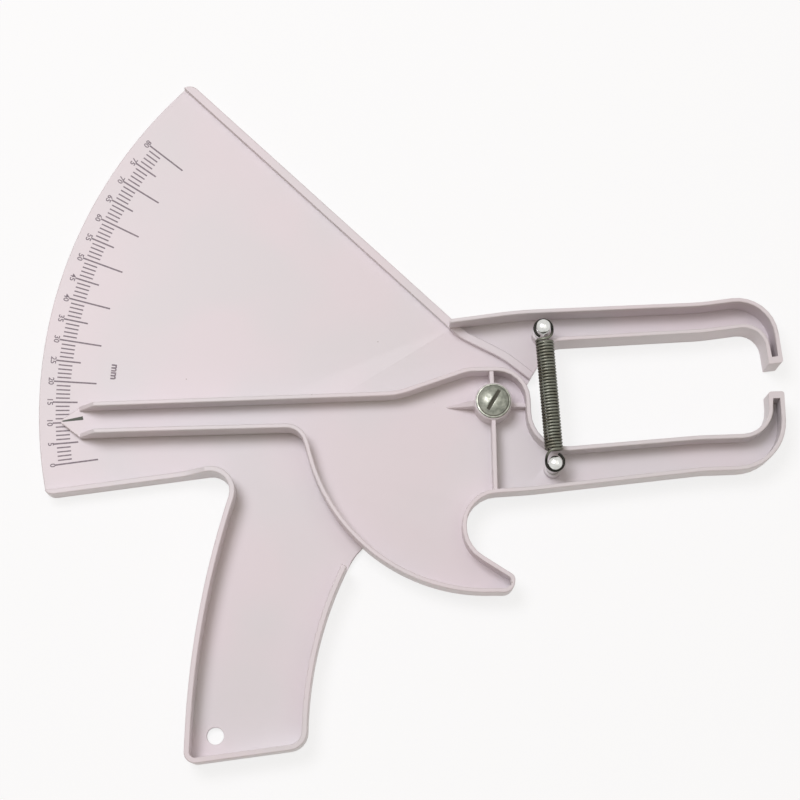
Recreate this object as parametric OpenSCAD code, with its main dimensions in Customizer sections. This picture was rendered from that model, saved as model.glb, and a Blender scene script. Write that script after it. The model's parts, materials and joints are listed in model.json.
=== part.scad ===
// Skinfold caliper: a moulded body with scale sector, handle and upper arm, and a moulded
// lever with pointer, trigger and lower arm, turning on one screw against a tension spring.
// Frame: the pivot axis is Z through the origin, the body's flat back is z = 0, +X runs along
// the zero line of the scale to the place where the jaws meet, and +Y is towards the upper arm.

/* [Reading] */
// Opening between the jaws at which the lever stands
opening = 10; // [2:1:60]
// Radius from the pivot at which the opening is read
jaw_r = 103; // [98:0.5:112]
// Gap left between the jaw faces when the lever is closed
jaw_gap = 0.3; // [0.2:0.1:1]

/* [Mouldings] */
// Thickness of the body's web
web_t = 3; // [2:0.25:4]
// Height of the tall walls above the back
wall_top = 15; // [13.5:0.5:17]
// Width of the handle's walls
handle_wall = 2; // [1.6:0.1:2.4]
// Width of the upper arm's walls
arm_wall = 1.5; // [1.2:0.1:2]
// Width of the lever's walls
lever_wall = 1.6; // [1.2:0.1:2]
// Thickness of the lever's floor
floor_t = 2; // [1.5:0.25:3]
// Height of the low rims above the back
rim_top = 6; // [4.5:0.5:8]
// Height of the sector's bottom wall above the back
sector_wall_top = 10; // [8:0.5:12]
// Width of the low rims
rim_w = 3; // [2:0.25:4]

/* [Scale sector] */
// Radius of the sector's curved edge
sector_r = 166.9; // [160:0.1:175]
// Distance from the zero line down to the sector's bottom edge
sector_low = 11.8; // [10:0.1:13]
// Direction that the sector's upper edge faces
edge_angle = 39.5; // [37:0.1:44]
// Distance from the pivot to the sector's upper edge
edge_off = 14; // [13:0.1:16]
// Radius of the sector's two outer corners
sector_corner_r = 4; // [2:0.5:6]

/* [Handle] */
// Distance from the zero line down to the handle's end
handle_drop = 115.6; // [108:0.2:125]
// Distance from the pivot back to the handle's lower left corner
handle_back = 128; // [124:0.5:132]
// Distance from the pivot back to where the handle leaves the sector
handle_root = 95.2; // [92:0.1:98]
// Width of the handle at its end
handle_w = 44.5; // [40:0.5:48]
// Lean of the handle's rear side from upright, at the top
lean_top = 25; // [23:0.5:27]
// Lean of the handle's rear side from upright, at the end
lean_end = 10.2; // [9:0.1:12]
// Radius of the hole for hanging the caliper up
hang_r = 3.1; // [2:0.1:4]
// Distance of that hole from the handle's rear corner, each way
hang_in = [12, 9.3]; // [8:0.1:16]

/* [Arms] */
// Distance from the reading radius out to the upper tip's outer side
upper_tip_out = 4.1; // [3:0.1:5]
// Distance from the reading radius out to the lower tip's outer side
lower_tip_out = 3.2; // [2:0.1:5]
// Width of the upper jaw tip
upper_tip_w = 5.3; // [4.8:0.1:6]
// Width of the lower jaw tip
lower_tip_w = 5.8; // [5:0.1:7]
// Depth of solid plastic behind each jaw face
tip_solid = 2.5; // [1.5:0.1:4]
// Bevel on the outer corner of the upper tip
tip_bevel = 0.6; // [0.5:0.1:2]
// Height of the upper arm's inner edge above the zero line
upper_in = 14.9; // [13:0.1:17]
// Width of the upper arm
upper_w = 11.5; // [10:0.1:14]
// Drop from the zero line to the lower arm's inner edge
lower_in = 15.4; // [14:0.1:18]
// Width of the lower arm
lower_w = 13.3; // [12:0.1:15]
// Outer edge of the upper arm beside the pivot, from the zero line
arm_root = 32.4; // [31:0.1:34]
// Outer edge of the lower arm beside the pivot, from the zero line
lower_root_out = 33.5; // [32:0.1:34]
// Inner edge of the upper arm beside the pivot
upper_root_in = 19.2; // [18:0.1:20]
// Inner edge of the lower arm beside the pivot
lower_root_in = 18.3; // [17.5:0.1:20]

/* [Lever] */
// Reach of the pointer's tip from the pivot
pointer_r = 158.5; // [150:0.5:160]
// Reach of the pointer's walls from the pivot
pointer_wall_r = 151.5; // [144:0.5:152]
// Height of the pointer's upper wall at its end
pointer_up = 5.1; // [4:0.1:6]
// Depth of the pointer's lower wall at its end
pointer_low = 6.4; // [5:0.1:7]
// Length over which the pointer's walls fall to its floor
pointer_ramp = 6; // [3:0.5:8]
// Radius of the lever's hub wall
hub_wall_r = 12.3; // [11.5:0.1:13.5]
// Reach of the hub wall in front of the pivot
hub_out = 13.6; // [12.5:0.1:14]
// Radius of the trigger blade's curved edge
blade_r = 67.1; // [64:0.1:70]
// Centre of the blade's curved edge
blade_c = [-2.7, -2.9]; // [-6:0.1:0]
// Reach of the trigger's hook in front of the pivot
hook_x = 5.2; // [3:0.1:8]

/* [Pivot] */
// Radius of the journal on the body that the lever turns on
journal_r = 4.7; // [4:0.1:5.2]
// Radial running clearance of the lever on the journal
run_gap = 0.05; // [0.03:0.01:0.08]
// Outer radius of the lever's boss
boss_r = 6.9; // [6.5:0.1:8]
// Thickness of the thrust washer
thrust_t = 0.5; // [0.3:0.1:1]
// Radius of the thread of the pivot screw
screw_r = 2; // [1.5:0.1:2.4]
// Radius of the screw's head
head_r = 5.7; // [5:0.1:6.2]
// Height of the screw's head
head_h = 2.6; // [2.2:0.1:3]
// Width of the slot in the screw's head
slot_w = 1.6; // [1:0.1:2]
// Direction of the slot
slot_angle = 52; // [0:1:90]
// Outer radius of the washer under the head
washer_r = 6.3; // [6.2:0.1:6.5]
// Thickness of that washer
washer_t = 0.8; // [0.5:0.1:1.2]
// Outer radius of the threaded insert
insert_r = 2.9; // [2.7:0.1:3.3]
// Length of the threaded insert
insert_l = 8; // [5:0.5:9]

/* [Spring and posts] */
// Place of the spring's post on the body
upper_post_at = [21.6, 24]; // [20:0.1:26]
// Place of the spring's post on the lever, with the lever closed
lower_post_at = [21.1, -24.4]; // [-26:0.1:23]
// Diameter of the spring's wire
wire_d = 1; // [0.8:0.05:1.1]
// Outer diameter of the spring's curls
coil_d = 6.8; // [6:0.1:7]
// Least gap between two curls
coil_gap = 0.45; // [0.42:0.01:0.6]
// Outer diameter of the spring's end loops
loop_d = 7.4; // [7:0.1:8]
// Distance from a post to the nearest curl
coil_from_post = 4.8; // [4.6:0.1:6]
// Gap from the walls' tops to the curls
coil_over_wall = 0.4; // [0.3:0.1:1]
// Radius of a post's shaft and head
post_r = 2.55; // [2.4:0.05:2.6]
// Radius of a post's neck, inside the loop
neck_r = 2.1; // [1.8:0.05:2.2]
// Radius of a post's pin, in the moulding
post_pin_r = 1.5; // [1.2:0.1:1.7]
// Radius of the bosses under the posts
post_boss_r = 3.4; // [3.1:0.1:3.8]
// Height of the bosses' tops above the back
post_boss_top = 8.5; // [7:0.5:10]
// Outer radius of the push-on clips
clip_r = 3; // [2.6:0.1:3.4]
// Thickness of the push-on clips
clip_t = 0.7; // [0.5:0.1:0.9]

/* [Hidden] */

plastic = "#DED4D6";
steel = "#9A9C90";
wire_grey = "#6E7066";

fit_gap = 0.05;                                  // gap round pieces that are pressed or screwed in
lever_angle = -2 * asin(opening / 2 / jaw_r);    // turn of the lever from closed to the opening
lever_z = web_t + thrust_t;                      // underside of the lever
floor_top = lever_z + floor_t;
upper_end = jaw_r + upper_tip_out;               // outer sides of the jaw tips
lower_end = jaw_r + lower_tip_out;
upper_tip_x = upper_end - upper_tip_w;
lower_tip_x = lower_end - lower_tip_w;
face_y = jaw_gap / 2;                            // jaw faces, either side of the zero line
upper_out = upper_in + upper_w;
lower_out = lower_in + lower_w;
bend_x = 0.78 * jaw_r;                           // where the arms begin to spread towards the pivot
through = 1;                                     // overshoot of a cut past a face
hub_r = 12.4;                                    // radius of the web round the pivot
journal_top = wall_top + 0.15;
spring_z = wall_top + coil_over_wall + coil_d / 2;

// ---- outlines ----------------------------------------------------------------------------
// A path is a list of corners [x, y, r]. r is the corner's radius, and a corner with no r is
// sharp. Paths run clockwise seen from the front, so the plastic lies to the right of them.

function unit(v) = v / norm(v);
function right_of(v) = [v.y, -v.x];
function flat(v) = [v.x, v.y];
function steps(r, sweep) = max(1, ceil(max(abs(sweep) / 15, abs(sweep) * PI / 180 * r / 3)));
function arc(c, r, a0, a1) =
    let (n = steps(r, a1 - a0))
    [for (i = [0:n]) c + r * [cos(a0 + (a1 - a0) * i / n), sin(a0 + (a1 - a0) * i / n)]];

// Points of one corner: an arc that touches both of its sides
function corner(a, b, c) =
    b[2] == undef || b[2] <= 0 ? [flat(b)] :
    let (u = unit(flat(a) - flat(b)), v = unit(flat(c) - flat(b)),
         half = acos(max(-1, min(1, u * v))) / 2)
    half > 89.9 ? [flat(b)] :
    let (centre = flat(b) + unit(u + v) * b[2] / sin(half),
         start = flat(b) + u * b[2] / tan(half) - centre,
         turn = sign(u.x * v.y - u.y * v.x) * (2 * half - 180),
         a0 = atan2(start.y, start.x))
    arc(centre, b[2], a0, a0 + turn);

function rounded(p, closed = true) =
    let (n = len(p))
    [for (i = [0:n - 1])
        each (!closed && (i == 0 || i == n - 1)) ? [flat(p[i])]
            : corner(p[(i + n - 1) % n], p[i], p[(i + 1) % n])];

// An open path moved w to its right, with its corner radii changed to suit
function beside(p, w) =
    let (n = len(p))
    [for (i = [0:n - 1])
        let (back = i == 0 ? unit(flat(p[1]) - flat(p[0])) : unit(flat(p[i]) - flat(p[i - 1])),
             on = i == n - 1 ? back : unit(flat(p[i + 1]) - flat(p[i])),
             side = unit(right_of(back) + right_of(on)),
             at = flat(p[i]) + side * w / (side * right_of(back)),
             bend = back.x * on.y - back.y * on.x,
             r = p[i][2] == undef ? 0 : p[i][2])
        r <= 0 ? at : [at.x, at.y, bend < 0 ? max(r - w, 0) : r + w]];

function reversed(p) = [for (i = [len(p) - 1:-1:0]) p[i]];

// Points of an outline, with one left where two stretches end on the same point
function joined(p) =
    let (n = len(p))
    [for (i = [0:n - 1]) if (norm(p[i] - p[(i + 1) % n]) > 0.001) p[i]];

// A wall of width w that stands on the right of an open path
module wall(p, w, z0, z1) {
    translate([0, 0, z0])
        linear_extrude(z1 - z0)
            polygon(joined(concat(
                rounded(p, false), reversed(rounded(beside(p, w), false)))));
}

// ---- body outline ------------------------------------------------------------------------
corner_reach = sector_r - sector_corner_r;
low_corner_y = sector_corner_r - sector_low;
low_corner = [-sqrt(pow(corner_reach, 2) - pow(low_corner_y, 2)), low_corner_y];
edge_out = [cos(edge_angle), sin(edge_angle)];
edge_up = [-sin(edge_angle), cos(edge_angle)];
top_corner = edge_out * (edge_off - sector_corner_r)
    + edge_up * sqrt(pow(corner_reach, 2) - pow(edge_off - sector_corner_r, 2));
function bearing(v) = atan2(v.y, v.x);
function on_edge(y) = [(edge_off - y * edge_out.y) / edge_out.x, y];
function lean(a) = [sin(a), cos(a)];
function cross2(a, b) = a.x * b.y - a.y * b.x;
// Where the line through p along d meets the line through q along e
function meet(p, d, q, e) = p + d * cross2(q - p, e) / cross2(d, e);

edge_root = on_edge(arm_root);                   // the sector's upper edge meets the upper arm
handle_corner = [-handle_back, -handle_drop];
handle_top = [-handle_root, -sector_low];
handle_bulge = meet(handle_corner, lean(lean_end), handle_top, lean(lean_top));
handle_front = handle_corner + [handle_w, 0];
blade_rear = [-57, -47];                         // the handle's front side runs in behind the lever
front_bulge = meet(handle_front, lean(9), blade_rear, lean(33));

hub_end = 58;                                    // bearing at which the outline leaves the hub
upper_outer = [
    [14, arm_root, 150], [bend_x, upper_out, 60], [upper_end, upper_out, 15],
    [upper_end, face_y + tip_bevel, 0.4]];
upper_inner = [
    [upper_tip_x, face_y, 0.4], [upper_tip_x, upper_in, 8], [bend_x, upper_in, 60],
    [24, upper_root_in, 8], [hub_r + 0.2, 4.8, 6], [hub_r, 0]];
inner_wall_end = 23;                             // the arm's inner wall stops behind the spring
slope_end = -22 - handle_root;                   // foot of the slope on the handle's rear wall
handle_path = [
    concat(front_bulge, 140), concat(handle_front, 7), concat(handle_corner, 4),
    concat(handle_bulge, 325), concat(handle_top, 7)];

module web_outline() {
    polygon(joined(concat(
        arc(low_corner, sector_corner_r, 270, bearing(low_corner) + 360),
        arc([0, 0], sector_r, bearing(low_corner) + 360, bearing(top_corner)),
        arc(top_corner, sector_corner_r, bearing(top_corner), edge_angle),
        rounded(concat(
            [top_corner + edge_out * sector_corner_r, concat(edge_root, 6)],
            upper_outer,
            [[upper_end - tip_bevel, face_y, 0.4]],
            upper_inner), false),
        arc([0, 0], hub_r, 0, -hub_end),
        rounded(concat([hub_r * [cos(hub_end), -sin(hub_end)], concat(blade_rear, 25)],
            handle_path, [[low_corner.x, -sector_low]]), false))));
}

module hang_hole() {
    translate([handle_corner.x + hang_in[0], handle_corner.y + hang_in[1], -through])
        cylinder(r = hang_r, h = web_t + 2 * through, $fn = 48);
}

// The point that lies a distance d from p on the way to q
function toward(p, q, d) = flat(p) + unit(flat(q) - flat(p)) * d;

// A wall along the web's edge: it reaches past the edge, where the outline cuts it off
module edge_wall(p, w, top) {
    wall(beside(p, -through), w + through, 0, top);
}

module body_walls() {
    intersection() {
        translate([0, 0, -through]) linear_extrude(wall_top + 2 * through) web_outline();
        union() {
            // Handle, from its front side round its end and up its rear side to the sector
            edge_wall(concat([toward(blade_rear, front_bulge, 7)], handle_path,
                [[slope_end, -sector_low]]), handle_wall, wall_top);
            edge_wall([[-7 - handle_root, -sector_low], [-sector_r, -sector_low]],
                handle_wall, sector_wall_top);
            // Upper arm: outer side, inner side and the solid tip
            wall(concat([edge_root - [3, 0]], [for (i = [0:2]) upper_outer[i]],
                [[upper_end, face_y + tip_solid]]), arm_wall, 0, wall_top);
            intersection() {
                edge_wall(concat([[upper_tip_x, face_y + 1]], [for (i = [1:5]) upper_inner[i]]),
                    arm_wall, wall_top);
                translate([inner_wall_end, 0, 0]) cube([jaw_r, upper_out, wall_top]);
            }
            translate([upper_tip_x - through, 0, 0])
                cube([upper_tip_w + 2 * through, face_y + tip_solid, wall_top]);
            // Low rims: the sector's upper edge, and the ridge from there to the hub
            edge_wall([edge_out * edge_off + edge_up * sector_r, edge_root], rim_w, rim_top);
            wall(reversed([edge_root - edge_out * rim_w + edge_up * 3,
                [-9.4, 27.8, 20], [6.4, 17, 40], [18.5, 4.5]]), rim_w, 0, rim_top);
        }
    }
}

// What is taken off the handle's rear wall, so that it slopes down to the sector's bottom wall
module wall_slope() {
    translate([0, -sector_low + handle_wall + through, 0])
        rotate([90, 0, 0])
            linear_extrude(handle_wall + 2 * through)
                polygon([[slope_end - through, sector_wall_top], [slope_end + 2, sector_wall_top],
                    [slope_end + 10, wall_top], [slope_end + 10, wall_top + through],
                    [slope_end - through, wall_top + through]]);
}

// ---- lever outline, with the lever closed -----------------------------------------------
blade_turn = [-70.7, -7.1];
lever_upper = [
    [-pointer_wall_r, pointer_up], [-35, 5, 25], [-8.8, 13, 16],
    [hub_out, hub_wall_r + 0.2, hub_wall_r], [hub_out, -lower_root_in, 13],
    [0.72 * jaw_r, -lower_in, 80], [lower_tip_x, -lower_in, 10]];
lever_lower = concat(
    [[lower_end, -lower_out, 18], [0.73 * jaw_r, -lower_out, 60], [12, -lower_root_out, 100],
        [-11, -0.7 - lower_root_out, 11.5], [-12, -52.3, 12.5], [hook_x, -64.2, 2.4],
        [hook_x - 0.6, -70.3, 4]],
    arc(blade_c, blade_r, -90, -167),
    [concat(blade_turn, 6.5), [-125, -pointer_low - 0.1, 200], [-pointer_wall_r, -pointer_low]]);

module lever_place() {
    rotate([0, 0, lever_angle]) children();
}

module lever_floor() {
    translate([0, 0, lever_z])
        linear_extrude(floor_t)
            polygon(rounded(concat(
                [[-pointer_r, -0.5], [-pointer_r, 0.6]], lever_upper,
                [[lower_tip_x, -face_y, 1], [lower_end, -face_y, 1]],
                lever_lower)));
}

module lever_walls() {
    wall(concat(lever_upper, [[lower_tip_x, -face_y - 1.5]]), lever_wall, lever_z, wall_top);
    wall(concat([[lower_end, -face_y - 1.5]], lever_lower), lever_wall, lever_z, wall_top);
    translate([0, 0, lever_z])
        linear_extrude(wall_top - lever_z)
            polygon(rounded([
                [lower_tip_x, -face_y, 1], [lower_end, -face_y, 1],
                [lower_end, -face_y - tip_solid], [lower_tip_x, -face_y - tip_solid]]));
}

// What is taken off the ends of the pointer's walls, so that they slope down to its floor
module pointer_slope() {
    translate([0, pointer_low + through, 0])
        rotate([90, 0, 0])
            linear_extrude(2 * pointer_low + 2 * through)
                polygon([[-pointer_wall_r - through, floor_top + 0.8],
                    [-pointer_wall_r, floor_top + 0.8],
                    [pointer_ramp - pointer_wall_r, wall_top],
                    [pointer_ramp - pointer_wall_r, wall_top + through],
                    [-pointer_wall_r - through, wall_top + through]]);
}

// A straight rib from the boss, w wide, that starts at radius r0 and ends at r1
module boss_rib(angle, w, r0, r1, top) {
    rotate([0, 0, angle])
        translate([r0, -w / 2, floor_top - fit_gap])
            cube([r1 - r0, w, top - floor_top + fit_gap]);
}

// The rib behind the boss, which narrows and falls to the floor towards its tail
module boss_tail(w, r0, r1, top) {
    foot = floor_top - 0.4;
    intersection() {
        translate([0, w, 0])
            rotate([90, 0, 0])
                linear_extrude(2 * w)
                    polygon([[-r0, foot - 0.5], [-r1, foot - 0.5], [-r1, foot], [-r0, top]]);
        translate([0, 0, lever_z])
            linear_extrude(wall_top)
                polygon([[1 - r0, w / 2], [1 - r0, -w / 2], [-r1 - 1, -0.25], [-r1 - 1, 0.25]]);
    }
}

module boss_ribs() {
    rib_top = wall_top - 0.5;
    inside = boss_r - 1;
    boss_rib(91, lever_wall, inside, hub_wall_r - 0.5, rib_top);
    boss_rib(-91, lever_wall, inside, lower_root_out + 0.3, rib_top);
    boss_rib(-4, lever_wall, inside, hub_out - 0.6, floor_top + 4);
    boss_tail(2.8, inside, 17.5, wall_top - 2);
}

// A boss for a post at p, standing on z0
module post_boss(p, z0) {
    translate([p.x, p.y, z0]) cylinder(r = post_boss_r, h = post_boss_top - z0, $fn = 48);
}

module post_hole(p, z0) {
    translate([p.x, p.y, z0 - through])
        cylinder(r = post_pin_r + fit_gap, h = post_boss_top - z0 + 2 * through, $fn = 48);
}

// ---- sub-parts ---------------------------------------------------------------------------
insert_top = journal_top - 0.5;
screw_hole_bottom = web_t / 2;
clip_recess = clip_t + 0.5;                      // depth of the clip's recess in the body's back

module body() {
    color(plastic)
        difference() {
            union() {
                linear_extrude(web_t) web_outline();
                body_walls();
                cylinder(r = journal_r, h = journal_top, $fn = 96);
                post_boss(upper_post_at, 0);
            }
            hang_hole();
            wall_slope();
            translate([0, 0, insert_top - insert_l])
                cylinder(r = insert_r + fit_gap, h = insert_l + through, $fn = 64);
            translate([0, 0, screw_hole_bottom])
                cylinder(r = screw_r + 2 * fit_gap, h = journal_top, $fn = 48);
            post_hole(upper_post_at, 0);
            translate([upper_post_at.x, upper_post_at.y, -through])
                cylinder(r = clip_r + 0.2, h = clip_recess + through, $fn = 64);
        }
}

module lever() {
    color(plastic)
        lever_place()
            difference() {
                union() {
                    lever_floor();
                    lever_walls();
                    translate([0, 0, lever_z])
                        cylinder(r = boss_r, h = wall_top - lever_z, $fn = 96);
                    boss_ribs();
                    post_boss(lower_post_at, lever_z);
                }
                translate([0, 0, lever_z - through])
                    cylinder(r = journal_r + run_gap, h = wall_top + 2 * through, $fn = 96);
                post_hole(lower_post_at, lever_z);
                pointer_slope();
            }
}

module ring(r_out, r_in, z0, t) {
    translate([0, 0, z0])
        difference() {
            cylinder(r = r_out, h = t, $fn = 96);
            translate([0, 0, -through]) cylinder(r = r_in, h = t + 2 * through, $fn = 96);
        }
}

module thrust_washer() {
    color("#E8E4D8") ring(boss_r, journal_r + 0.3, web_t, thrust_t);
}

module pivot_insert() {
    color("#B5924A") ring(insert_r, screw_r + fit_gap, insert_top - insert_l, insert_l);
}

module pivot_washer() {
    color(steel) ring(washer_r, screw_r + 0.2, journal_top, washer_t);
}

module pivot_screw() {
    head_z = journal_top + washer_t;
    edge_h = 0.9;                                // upright edge of the head, below its dome
    dome = head_h - edge_h;
    dome_r = (pow(head_r, 2) + pow(dome, 2)) / 2 / dome;
    tip_z = insert_top - insert_l - 2;
    color(steel)
        difference() {
            union() {
                translate([0, 0, tip_z]) cylinder(r = screw_r, h = head_z - tip_z + 0.1, $fn = 48);
                intersection() {
                    translate([0, 0, head_z]) cylinder(r = head_r, h = head_h, $fn = 96);
                    translate([0, 0, head_z + head_h - dome_r]) sphere(r = dome_r, $fn = 128);
                }
            }
            rotate([0, 0, slot_angle])
                translate([-head_r, -slot_w / 2, head_z + head_h - 1.5])
                    cube([2 * head_r, slot_w, head_h]);
        }
}

// A post: pin, shaft, neck for the spring's loop, and domed head, along Z from z0 to seat and up
module post(p, z0, seat) {
    neck_z = spring_z - wire_d;
    head_z = spring_z + wire_d;
    dome_h = 1;
    dome_r = (pow(post_r, 2) + pow(dome_h, 2)) / 2 / dome_h;
    translate([p.x, p.y, 0]) {
        translate([0, 0, z0]) cylinder(r = post_pin_r, h = seat - z0 + 0.1, $fn = 48);
        translate([0, 0, seat]) cylinder(r = post_r, h = neck_z - seat, $fn = 64);
        translate([0, 0, neck_z - 0.1]) cylinder(r = neck_r, h = 2 * wire_d + 0.2, $fn = 64);
        translate([0, 0, head_z]) cylinder(r = post_r, h = 0.5, $fn = 64);
        intersection() {
            translate([0, 0, head_z + 0.4]) cylinder(r = post_r, h = dome_h + 0.2, $fn = 64);
            translate([0, 0, head_z + 0.5 + dome_h - dome_r]) sphere(r = dome_r, $fn = 96);
        }
    }
}

module upper_post() {
    color("silver") post(upper_post_at, 0.3, post_boss_top);
}

module lower_post() {
    color("silver") lever_place() post(lower_post_at, lever_z - 1.2, post_boss_top);
}

module post_clip(p, z) {
    translate([p.x, p.y, 0]) ring(clip_r, post_pin_r + fit_gap, z, clip_t);
}

module upper_post_clip() {
    color(steel) post_clip(upper_post_at, clip_recess - clip_t - fit_gap);
}

module lower_post_clip() {
    color(steel) lever_place() post_clip(lower_post_at, lever_z - clip_t - fit_gap);
}

// ---- spring ------------------------------------------------------------------------------
// One wire: a flat loop round the upper post, curls along the line between the posts, and a
// flat loop round the lower post. It is worked out with the upper post at the origin, the
// lower post along +X and the walls' side down, and then put in place.
wire_sides = 6;
curl_rings = 8;
loop_rings = 24;
loop_turn = 330;
lower_post_now = [
    lower_post_at.x * cos(lever_angle) - lower_post_at.y * sin(lever_angle),
    lower_post_at.x * sin(lever_angle) + lower_post_at.y * cos(lever_angle)];
span = norm(lower_post_now - upper_post_at);
curl_r = (coil_d - wire_d) / 2;
loop_r = (loop_d - wire_d) / 2;
loop_shift = loop_r - wire_d / 2 - neck_r - 0.1; // the pull seats each loop against its neck
coil_l = span - 2 * coil_from_post;
curls = floor(coil_l / (wire_d + coil_gap));

// A loop from its free end (t = 0) to the top of the first curl (t = 1), round a post at 0
function loop_point(t) =
    let (a = loop_turn * (1 - t),
         rise = a < 90 ? pow(cos(a), 2) : 0,
         r = loop_r + (coil_from_post - loop_shift - loop_r) * rise)
    [loop_shift + r * cos(a), r * sin(a), curl_r * rise];
function curl_point(t) =
    [coil_from_post + coil_l * t, -curl_r * sin(360 * curls * t), curl_r * cos(360 * curls * t)];
// The lower loop is the upper one turned half round about the spring's middle
function other_end(p) = [span - p.x, -p.y, p.z];

loop_points = [for (i = [0:loop_rings - 1]) loop_point(i / loop_rings)];
free_end = loop_points[0] + unit(loop_points[0] - loop_points[1]) * wire_d;
wire_points = concat(
    [free_end], loop_points,
    [for (i = [0:curls * curl_rings]) curl_point(i / curls / curl_rings)],
    [for (p = reversed(loop_points)) other_end(p)], [other_end(free_end)]);

wire_n = len(wire_points);
wire_dirs = [for (i = [0:wire_n - 1])
    unit(wire_points[min(i + 1, wire_n - 1)] - wire_points[max(i - 1, 0)])];
function upright(n, d) = unit(n - d * (n * d));
wire_ups = [for (i = 0, n = upright([0, 0, 1], wire_dirs[0]);
                 i < wire_n;
                 i = i + 1, n = upright(n, wire_dirs[min(i, wire_n - 1)])) n];

// Least distance between the wire and any stretch of it more than half a curl away
apart = curl_rings / 2 + 1;
near_gaps = [for (i = [0:wire_n - apart - 1])
    min([for (j = [i + apart:min(wire_n - 1, i + 3 * curl_rings)])
        norm(wire_points[i] - wire_points[j])])];
echo(str("spring: curls ", curls, ", pitch ", coil_l / curls,
    ", least gap of the wire to itself ", min(near_gaps) - wire_d, " mm"));

module wire(points, dirs, ups, r, sides) {
    n = len(points);
    rings = [for (i = [0:n - 1]) for (k = [0:sides - 1])
        let (a = 360 * k / sides)
        points[i] + r * (ups[i] * cos(a) + cross(dirs[i], ups[i]) * sin(a))];
    skin = [for (i = [0:n - 2]) for (k = [0:sides - 1])
        let (a = i * sides + k, b = i * sides + (k + 1) % sides)
        each [[a, b + sides, b], [a, a + sides, b + sides]]];
    last = (n - 1) * sides;
    ends = [for (k = [1:sides - 2]) each [[0, k, k + 1], [last, last + k + 1, last + k]]];
    polyhedron(points = rings, faces = concat(skin, ends));
}

module spring() {
    along = lower_post_now - upper_post_at;
    color(wire_grey)
        translate([upper_post_at.x, upper_post_at.y, spring_z])
            rotate([0, 0, atan2(along.y, along.x)])
                wire(wire_points, wire_dirs, wire_ups, wire_d / 2, wire_sides);
}

body();
lever();
thrust_washer();
pivot_insert();
pivot_washer();
pivot_screw();
spring();
upper_post();
lower_post();
upper_post_clip();
lower_post_clip();
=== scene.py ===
"""Skinfold caliper: its finishes, printed scale, spring and fittings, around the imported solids."""
import json
import math

import bmesh
import bpy
import numpy as np
from mathutils import Matrix, Vector


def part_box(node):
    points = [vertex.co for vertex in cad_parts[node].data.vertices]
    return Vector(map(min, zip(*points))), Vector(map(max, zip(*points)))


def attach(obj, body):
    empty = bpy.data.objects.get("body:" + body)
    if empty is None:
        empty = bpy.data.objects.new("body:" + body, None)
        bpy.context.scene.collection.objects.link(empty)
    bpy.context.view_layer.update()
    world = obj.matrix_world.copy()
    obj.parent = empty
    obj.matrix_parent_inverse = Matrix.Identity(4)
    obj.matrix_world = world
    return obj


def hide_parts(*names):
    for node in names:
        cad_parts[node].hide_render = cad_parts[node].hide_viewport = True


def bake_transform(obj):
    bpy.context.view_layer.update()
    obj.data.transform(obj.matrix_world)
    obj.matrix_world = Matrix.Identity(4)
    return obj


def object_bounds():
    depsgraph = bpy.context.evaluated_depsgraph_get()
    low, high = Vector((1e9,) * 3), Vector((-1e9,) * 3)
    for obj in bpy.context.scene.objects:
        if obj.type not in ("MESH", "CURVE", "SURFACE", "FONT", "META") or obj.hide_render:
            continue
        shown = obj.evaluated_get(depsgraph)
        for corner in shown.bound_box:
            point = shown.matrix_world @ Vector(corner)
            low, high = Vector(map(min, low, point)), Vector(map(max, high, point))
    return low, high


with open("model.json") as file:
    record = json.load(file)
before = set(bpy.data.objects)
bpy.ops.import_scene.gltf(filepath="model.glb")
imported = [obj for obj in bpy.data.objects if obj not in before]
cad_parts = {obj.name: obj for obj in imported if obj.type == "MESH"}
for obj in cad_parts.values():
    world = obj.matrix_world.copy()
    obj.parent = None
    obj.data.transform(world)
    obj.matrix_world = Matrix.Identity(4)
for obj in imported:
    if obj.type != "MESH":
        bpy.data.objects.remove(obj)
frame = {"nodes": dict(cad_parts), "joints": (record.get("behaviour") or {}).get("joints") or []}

bl_info = {
    "name": "Skinfold Caliper",
    "version": (1, 0, 0),
    "blender": (4, 5, 0),
    "location": "3D Viewport > Sidebar > Caliper",
    "description": "Finishes, printed scale, spring and fittings of a skinfold caliper",
    "category": "Add Mesh",
}

MM = 0.001
CAD_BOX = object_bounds()


# ---- colours and node trees ---------------------------------------------------------------

def linear(hex_colour):
    """Linear RGBA of an sRGB hex colour, by the sRGB curve."""
    srgb = np.array([int(hex_colour[i:i + 2], 16) for i in (1, 3, 5)]) / 255
    rgb = np.where(srgb <= 0.04045, srgb / 12.92, ((srgb + 0.055) / 1.055) ** 2.4)
    return (*rgb.tolist(), 1.0)


def add(tree, kind, inputs=None, **options):
    """Adds a node. inputs gives each socket its value, or the output that feeds it."""
    node = tree.nodes.new(kind)
    for name, value in options.items():
        setattr(node, name, value)
    for key, value in (inputs or {}).items():
        if isinstance(value, bpy.types.NodeSocket):
            tree.links.new(value, node.inputs[key])
        else:
            node.inputs[key].default_value = value
    return node


def new_material(name, finish):
    """A material whose surface is what the finish makes in its node tree, from the tree and
    the place on the piece."""
    material = bpy.data.materials.new(name)
    material.use_nodes = True
    tree = material.node_tree
    tree.nodes.clear()
    surface = finish(tree, add(tree, "ShaderNodeTexCoord").outputs["Object"])
    add(tree, "ShaderNodeOutputMaterial", {"Surface": surface.outputs[0]})
    return material


def per(size_mm):
    """The texture scale at which a pattern's marks are about size_mm across."""
    return 1 / (size_mm * MM)


# The sockets of a colour mix, whose colour goes from the first to the second as the share goes
# from 0 to 1.
SHARE, FIRST, SECOND, MIXED = 0, 6, 7, 2

SPREAD = {"From Min": 0.3, "From Max": 0.7}       # nearly all of a noise lies between these


# ---- sizes and colours that a user would change -------------------------------------------

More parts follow.
